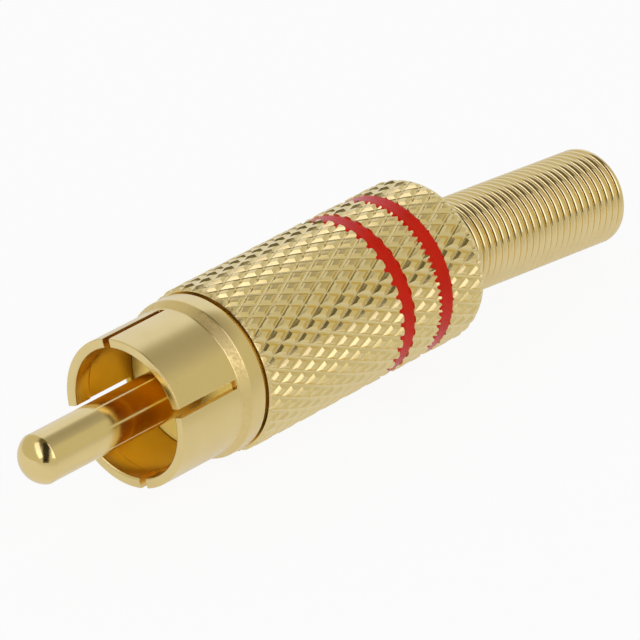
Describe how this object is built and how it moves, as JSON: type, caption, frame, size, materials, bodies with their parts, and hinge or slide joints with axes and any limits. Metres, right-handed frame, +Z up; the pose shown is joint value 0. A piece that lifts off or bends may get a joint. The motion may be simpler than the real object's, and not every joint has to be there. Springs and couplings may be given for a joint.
{
  "type": "rca plug",
  "caption": "Cable phono plug: domed centre pin in a slotted ground collar, knurled screw-on barrel with two red bands, and a coil spring strain relief.",
  "frame": {"origin": "on the plug's axis, in the plane of the collar's mouth", "axes": "+X along the centre pin towards its tip, +Z up"},
  "size_m": [0.0522, 0.0108, 0.0108],
  "materials": {
    "gold_plate": "turned brass with bright gold plating",
    "insulator": "moulded cream plastic",
    "sleeve": "thin milky plastic tube",
    "red_enamel": "red enamel in turned grooves",
    "spring_wire": "drawn wire with bright gold plating"
  },
  "bodies": {
    "contact_body": {"centre_pin": "gold_plate", "front_insulator": "insulator", "ground_collar": "gold_plate", "rear_insulator": "insulator", "ground_lug": "gold_plate"},
    "spring_carrier": {"insulating_sleeve": "sleeve", "strain_relief_spring": "spring_wire"},
    "screw_barrel": {"barrel": "gold_plate", "front_band": "red_enamel", "rear_band": "red_enamel"}
  },
  "joints": [
    {"name": "barrel_travel", "type": "slide", "parent": "contact_body", "child": "spring_carrier", "axis": [-1, 0, 0], "range_m": [0, 0.00525]},
    {"name": "barrel_turn", "type": "hinge", "parent": "spring_carrier", "child": "screw_barrel", "pos_m": [0, 0, 0], "axis": [-1, 0, 0], "range_deg": [0, 2520]}
  ],
  "couplings": [
    {"joint": "barrel_turn", "follows": "barrel_travel", "rad_per_m": 8377.6}
  ]
}
